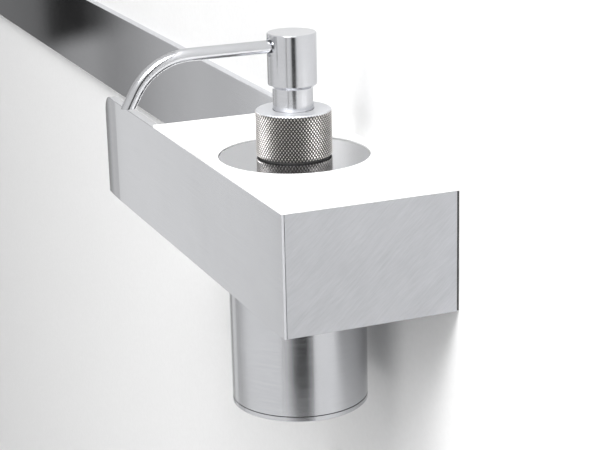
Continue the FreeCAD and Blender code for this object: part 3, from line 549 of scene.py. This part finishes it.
def milky_tube():
    """Milky translucent dip tube."""
    material, bench, shader = finish("Milky tube plastic", IOR=1.5, Transmission_Weight=0.55)
    where = bench.place()
    grain = placed(bench, "Grain speckle", Vector=where, Scale=1200.0)
    bench.feed(shader.inputs["Base Color"],
               bench.tint(grain.outputs["Tone"], (0.80, 0.82, 0.82, 1), (0.90, 0.92, 0.92, 1)))
    bench.feed(shader.inputs["Roughness"], bench.spread(grain.outputs["Height"], 0.30, 0.42))
    bumped(bench, shader, grain.outputs["Height"], 4e-6)
    return material


def drawn_steel():
    """Spring wire, balls and screws."""
    material, bench, shader = finish("Drawn steel", Metallic=1.0)
    where = bench.place()
    lines = placed(bench, "Brushed lines", Vector=where, Stretch=(700.0, 700.0, 700.0))
    marks = placed(bench, "Handling marks", Vector=where, Scale=200.0)
    bench.feed(shader.inputs["Base Color"],
               bench.tint(lines.outputs["Tone"], (0.50, 0.50, 0.50, 1), (0.66, 0.66, 0.66, 1)))
    bench.feed(shader.inputs["Roughness"], bench.spread(marks.outputs["Mask"], 0.22, 0.36))
    bumped(bench, shader, lines.outputs["Height"], 2e-6)
    return material


def put_in_scene(name, data):
    """Object for a mesh, lamp or camera."""
    made = bpy.data.objects.new(name, data)
    bpy.context.scene.collection.objects.link(made)
    return made


def coat(material, *nodes):
    """Give CAD nodes a finish."""
    for name in nodes:
        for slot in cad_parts[name].material_slots:
            slot.material = material


# ---- knurled collar -----------------------------------------------------------------------------
def on_ring(radius, step, count, level):
    """Point on a ring about the bottle's axis."""
    turn = 2 * math.pi * step / count
    return AXIS.x + radius * math.cos(turn), AXIS.y + radius * math.sin(turn), level


def ring_of(mesh, radius, level, count):
    """Ring of vertices about the bottle's axis."""
    return [mesh.verts.new(on_ring(radius, step, count, level)) for step in range(count)]


def join_rings(mesh, first, second):
    """Band of faces between two rings of the same count."""
    for i in range(len(first)):
        after = (i + 1) % len(first)
        mesh.faces.new((first[i], first[after], second[after], second[i]))


def knurl_rows(mesh, knurl, outer, bottom, top):
    """Diamonds between two heights; returns the lowest and highest rows of vertices."""
    count = 2 * knurl.around
    step = (top - bottom) / knurl.rows
    rows = []
    for j in range(knurl.rows + 1):
        row = []
        for i in range(count):
            is_peak = (i + j) % 2 == 1
            radius = outer if is_peak else outer - knurl.depth
            level = bottom + j * step
            if j == 0 and not is_peak:
                level -= knurl.depth
            if j == knurl.rows and not is_peak:
                level += knurl.depth
            row.append(mesh.verts.new(on_ring(radius, i, count, level)))
        rows.append(row)
    for j in range(knurl.rows):
        for i in range(count):
            after = (i + 1) % count
            a, b = rows[j][i], rows[j][after]
            c, d = rows[j + 1][after], rows[j + 1][i]
            # The cell's diagonal runs along a groove, between its two low corners.
            corners = ((a, b, c), (a, c, d)) if (i + j) % 2 == 0 else ((a, b, d), (b, c, d))
            for corner in corners:
                mesh.faces.new(corner)
    return rows[0], rows[-1]


def build_collar(knurl, material):
    """Collar with real diamonds between its two chamfers, on the CAD collar's own sizes."""
    low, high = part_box("collar")
    outer = (high.x - low.x) / 2
    rim = outer - COLLAR_CHAMFER
    hole, bore, step = inner_sizes()
    mesh = bmesh.new()
    lowest, highest = knurl_rows(mesh, knurl, outer, low.z + COLLAR_CHAMFER, high.z - COLLAR_CHAMFER)
    profile = [(rim, high.z), (hole, high.z), (hole, step), (bore, step), (bore, low.z), (rim, low.z)]
    rings = [ring_of(mesh, radius, level, len(lowest)) for radius, level in profile]
    rings = [highest] + rings + [lowest]
    for first, second in zip(rings, rings[1:]):
        join_rings(mesh, first, second)
    bmesh.ops.recalc_face_normals(mesh, faces=mesh.faces)
    data = bpy.data.meshes.new("knurled_collar")
    mesh.to_mesh(data)
    mesh.free()
    data.materials.append(material)
    return put_in_scene("knurled_collar", data)


def inner_sizes():
    """(radius of the top hole, radius of the bore, height of the step between) of the CAD collar."""
    low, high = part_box("collar")
    close = 0.1 * MM
    spots = set()
    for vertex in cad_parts["collar"].data.vertices:
        radius = math.hypot(vertex.co.x - AXIS.x, vertex.co.y - AXIS.y)
        spots.add((round(radius, 5), round(vertex.co.z, 5)))
    hole = min(radius for radius, level in spots)
    bore = min(radius for radius, level in spots if abs(level - low.z) < close)
    step = min(level for radius, level in spots if abs(radius - hole) < close / 5)
    return hole, bore, step


# ---- return spring ------------------------------------------------------------------------------
def build_spring(material):
    """Return spring, copied from the CAD spring's own shape."""
    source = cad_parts["pump_spring"]
    data = source.data.copy()
    data.materials.clear()
    data.materials.append(material)
    spring = put_in_scene("return_spring", data)
    spring.matrix_world = source.matrix_world.copy()
    return spring


# ---- stage --------------------------------------------------------------------------------------
def stage_paint(settings):
    """Pale paint that can be seen through from behind, so the wall never hides the object."""
    material, bench = new_material("Stage paint")
    grain = placed(bench, "Grain speckle", Vector=bench.place(), Scale=300.0)
    colour = bench.tint(grain.outputs["Tone"], shaded(settings.paint, 0.99), shaded(settings.paint, 1.01))
    paint = bench.add("BsdfDiffuse", None, Color=colour)
    clear = bench.add("BsdfTransparent")
    side = bench.add("NewGeometry")
    mix = bench.add("MixShader")
    bench.feed(mix.inputs[0], side.outputs["Backfacing"])
    bench.feed(mix.inputs[1], paint.outputs[0])
    bench.feed(mix.inputs[2], clear.outputs[0])
    bench.show(mix)
    return material


def flat_panel(name, corners, faces, material):
    """Stage piece from corner points."""
    data = bpy.data.meshes.new(name)
    data.from_pydata(corners, [], faces)
    data.materials.append(material)
    panel = put_in_scene(name, data)
    return panel


def softbox(name, place, target, size, power):
    """Area light that faces a point."""
    light = bpy.data.lights.new(name, "AREA")
    light.shape = "RECTANGLE"
    light.size, light.size_y = size
    light.energy = power
    lamp = put_in_scene(name, light)
    lamp.location = place
    lamp.rotation_mode = "QUATERNION"
    lamp.rotation_quaternion = (Vector(target) - Vector(place)).to_track_quat("-Z", "Y")


def reflected_card(name, corners, levels, low_levels=None, edge_start=0.0, edge_stop=0.0, climb=0.0):
    """Upright card that only shows as a reflection, as REFLECTED_CARDS says."""
    material, bench = new_material(name + " face")
    across, up = bench.across_and_up(corners)
    brightness = bench.profile(across, levels)
    if low_levels:
        raised = bench.maths("SUBTRACT", up, bench.maths("MULTIPLY", across, climb))
        share = bench.add("MapRange", {"interpolation_type": "SMOOTHSTEP"}, Value=raised,
                          From_Min=edge_start, From_Max=edge_stop).outputs["Result"]
        low = bench.profile(across, low_levels)
        step = bench.maths("SUBTRACT", brightness, low)
        brightness = bench.maths("ADD", low, bench.maths("MULTIPLY", step, share))
    glow = bench.add("Emission", None, Color=WHITE, Strength=brightness)
    bench.show(glow)
    (x0, y0, z0), (x1, y1, z1) = corners
    points = [(x0, y0, z0), (x1, y1, z0), (x1, y1, z1), (x0, y0, z1)]
    card = flat_panel(name, points, [(0, 1, 2, 3)], material)
    for use in ("camera", "diffuse", "shadow", "transmission", "volume_scatter"):
        setattr(card, "visible_" + use, False)


def build_wall(settings, material):
    """Wall with an opening hidden behind the rail, so light reaches the rail's back."""
    low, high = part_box("wall_rail")
    back = high.y + WALL_GAP
    xs = (WALL_LEFT, low.x + WALL_OPENING_INSET, high.x - WALL_OPENING_INSET, WALL_RIGHT)
    zs = (settings.floor_level, low.z + WALL_OPENING_INSET, high.z - WALL_OPENING_INSET, WALL_TOP)
    corners = [(x, back, z) for z in zs for x in xs]
    faces = []
    for row in range(len(zs) - 1):
        for column in range(len(xs) - 1):
            if (row, column) != (1, 1):
                start = row * len(xs) + column
                above = start + len(xs)
                faces.append((start, start + 1, above + 1, above))
    flat_panel("wall", corners, faces, material)


def build_floor(settings, material):
    """Large plain floor."""
    reach = FLOOR_REACH
    level = settings.floor_level
    corners = [(-reach, -reach, level), (reach, -reach, level), (reach, reach, level), (-reach, reach, level)]
    flat_panel("floor", corners, [(0, 1, 2, 3)], material)


def build_camera(settings):
    """Camera at the given place, bearing, dip and roll."""
    data = bpy.data.cameras.new("camera")
    data.sensor_fit = "HORIZONTAL"
    data.sensor_width = 36.0
    data.lens = settings.focal_length
    data.clip_start = 0.01
    data.clip_end = 200.0
    camera = put_in_scene("camera", data)
    bearing, dip, roll = settings.camera_bearing, settings.camera_dip, settings.camera_roll
    sight = Vector((-math.sin(bearing) * math.cos(dip), math.cos(bearing) * math.cos(dip), -math.sin(dip)))
    level = sight.cross(Vector((0, 0, 1))).normalized()
    above = level.cross(sight)
    right = math.cos(roll) * level + math.sin(roll) * above
    up = -math.sin(roll) * level + math.cos(roll) * above
    turn = Matrix((right, up, -sight)).transposed()
    camera.matrix_world = Matrix.Translation(settings.camera_place) @ turn.to_4x4()
    bpy.context.scene.camera = camera


def build_room_light(settings):
    """Even light from all round, a little darker low down, and brighter where steel reflects it."""
    world = bpy.data.worlds.new("Room")
    bpy.context.scene.world = world
    world.use_nodes = True
    world.node_tree.nodes.clear()
    bench = Bench(world.node_tree)
    direction = bench.add("TexCoord").outputs["Generated"]
    parts = bench.add("SeparateXYZ", None, Vector=direction)
    lift = bench.spread(parts.outputs[2], 0.75, 1.15, -0.5, 0.6)
    shiny = bench.add("LightPath").outputs["Is Glossy Ray"]
    level = bench.spread(shiny, settings.room_light, settings.reflected_room)
    strength = bench.maths("MULTIPLY", lift, level)
    sky = bench.add("Background", None, Color=WHITE, Strength=strength)
    output = bench.add("OutputWorld")
    bench.tree.links.new(sky.outputs[0], output.inputs["Surface"])


# ---- operators ----------------------------------------------------------------------------------
class DISPENSER_OT_finishes(bpy.types.Operator):
    """Make the shared node groups and every finish"""

    bl_idname = "dispenser.finishes"
    bl_label = "Finishes"

    def execute(self, context):
        make_groups()
        scene = context.scene
        FINISHES.update(make_finishes(scene.dispenser_steel, scene.dispenser_knurl))
        return {"FINISHED"}


class DISPENSER_OT_frame(bpy.types.Operator):
    """Finish the flat-bar frame, the tray, its screws and the wall seal"""

    bl_idname = "dispenser.frame"
    bl_label = "Bars and tray"

    def execute(self, context):
        coat(FINISHES["bars"], "wall_rail", "front_bar", "carrier_tray")
        coat(FINISHES["end"], "end_plate")
        coat(FINISHES["spring"], "tray_screws")
        coat(FINISHES["rubber"], "wall_seal")
        return {"FINISHED"}


class DISPENSER_OT_top(bpy.types.Operator):
    """Finish the white top plate"""

    bl_idname = "dispenser.top"
    bl_label = "Top plate"

    def execute(self, context):
        coat(FINISHES["white"], "top_plate")
        return {"FINISHED"}


class DISPENSER_OT_bottle(bpy.types.Operator):
    """Finish the bottle, its base, lid, neck and seals"""

    bl_idname = "dispenser.bottle"
    bl_label = "Bottle"

    def execute(self, context):
        coat(FINISHES["turned"], "bottle_body", "bottle_base", "bottle_neck")
        coat(FINISHES["lid"], "lid_disc")
        coat(FINISHES["rubber"], "base_seal", "collar_gasket", "closure_seal")
        return {"FINISHED"}


class DISPENSER_OT_collar(bpy.types.Operator):
    """Build the knurled collar in place of the plain one"""

    bl_idname = "dispenser.collar"
    bl_label = "Knurled collar"

    def execute(self, context):
        collar = build_collar(context.scene.dispenser_knurl, FINISHES["knurl"])
        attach(collar, "collar")
        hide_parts("collar")
        return {"FINISHED"}


class DISPENSER_OT_head(bpy.types.Operator):
    """Finish the pump head, the sleeve under it and the spout"""

    bl_idname = "dispenser.head"
    bl_label = "Head and spout"

    def execute(self, context):
        coat(FINISHES["turned"], "pump_head", "neck_sleeve")
        coat(FINISHES["spout"], "spout_tube")
        return {"FINISHED"}


class DISPENSER_OT_pump(bpy.types.Operator):
    """Finish the moulded and sprung pieces of the pump"""

    bl_idname = "dispenser.pump"
    bl_label = "Pump works"

    def execute(self, context):
        coat(FINISHES["plastic"], "stem_guide", "pump_barrel", "ball_cage")
        coat(FINISHES["plastic"], "piston", "stem", "head_insert")
        coat(FINISHES["tube"], "dip_tube")
        coat(FINISHES["spring"], "inlet_ball", "outlet_ball")
        spring = build_spring(FINISHES["spring"])
        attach(spring, "pump_unit")
        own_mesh(spring)
        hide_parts("pump_spring")
        return {"FINISHED"}


class DISPENSER_OT_stage(bpy.types.Operator):
    """Make the wall, the floor, the lights and the camera"""

    bl_idname = "dispenser.stage"
    bl_label = "Stage"

    def execute(self, context):
        settings = context.scene.dispenser_stage
        paint = stage_paint(settings)
        build_wall(settings, paint)
        build_floor(settings, paint)
        build_room_light(settings)
        target = (0.0, 0.0, 0.0)
        softbox("overhead softbox", KEY_LIGHT_PLACE, target, KEY_LIGHT_SIZE, settings.key_light)
        softbox("room side softbox", SIDE_LIGHT_PLACE, target, SIDE_LIGHT_SIZE, settings.side_light)
        for card in REFLECTED_CARDS:
            reflected_card(**card)
        build_camera(settings)
        context.scene.view_settings.view_transform = "Standard"
        return {"FINISHED"}


class DISPENSER_PT_panel(bpy.types.Panel):
    """Sidebar panel that lists the pieces"""

    bl_idname = "DISPENSER_PT_panel"
    bl_label = "Soap dispenser"
    bl_space_type = "VIEW_3D"
    bl_region_type = "UI"
    bl_category = "Dispenser"

    def draw(self, context):
        for operator in OPERATORS:
            self.layout.operator(operator.bl_idname)
        for name in SETTINGS:
            group = getattr(context.scene, name)
            box = self.layout.box()
            for prop in group.bl_rna.properties:
                if prop.identifier not in {"rna_type", "name"}:
                    box.prop(group, prop.identifier)


FINISHES = {}
SETTINGS = {"dispenser_steel": SteelSettings, "dispenser_knurl": KnurlSettings,
            "dispenser_stage": StageSettings}
OPERATORS = (DISPENSER_OT_finishes, DISPENSER_OT_frame, DISPENSER_OT_top, DISPENSER_OT_bottle,
             DISPENSER_OT_collar, DISPENSER_OT_head, DISPENSER_OT_pump, DISPENSER_OT_stage)


def register():
    for group in SETTINGS.values():
        bpy.utils.register_class(group)
    for item in OPERATORS + (DISPENSER_PT_panel,):
        bpy.utils.register_class(item)
    for name, group in SETTINGS.items():
        setattr(bpy.types.Scene, name, PointerProperty(type=group))


def unregister():
    for name in SETTINGS:
        delattr(bpy.types.Scene, name)
    for item in reversed(OPERATORS + (DISPENSER_PT_panel,)):
        bpy.utils.unregister_class(item)
    for group in SETTINGS.values():
        bpy.utils.unregister_class(group)


def main():
    register()
    for operator in OPERATORS:
        category, name = operator.bl_idname.split(".")
        getattr(getattr(bpy.ops, category), name)()


if __name__ == "__main__":
    main()
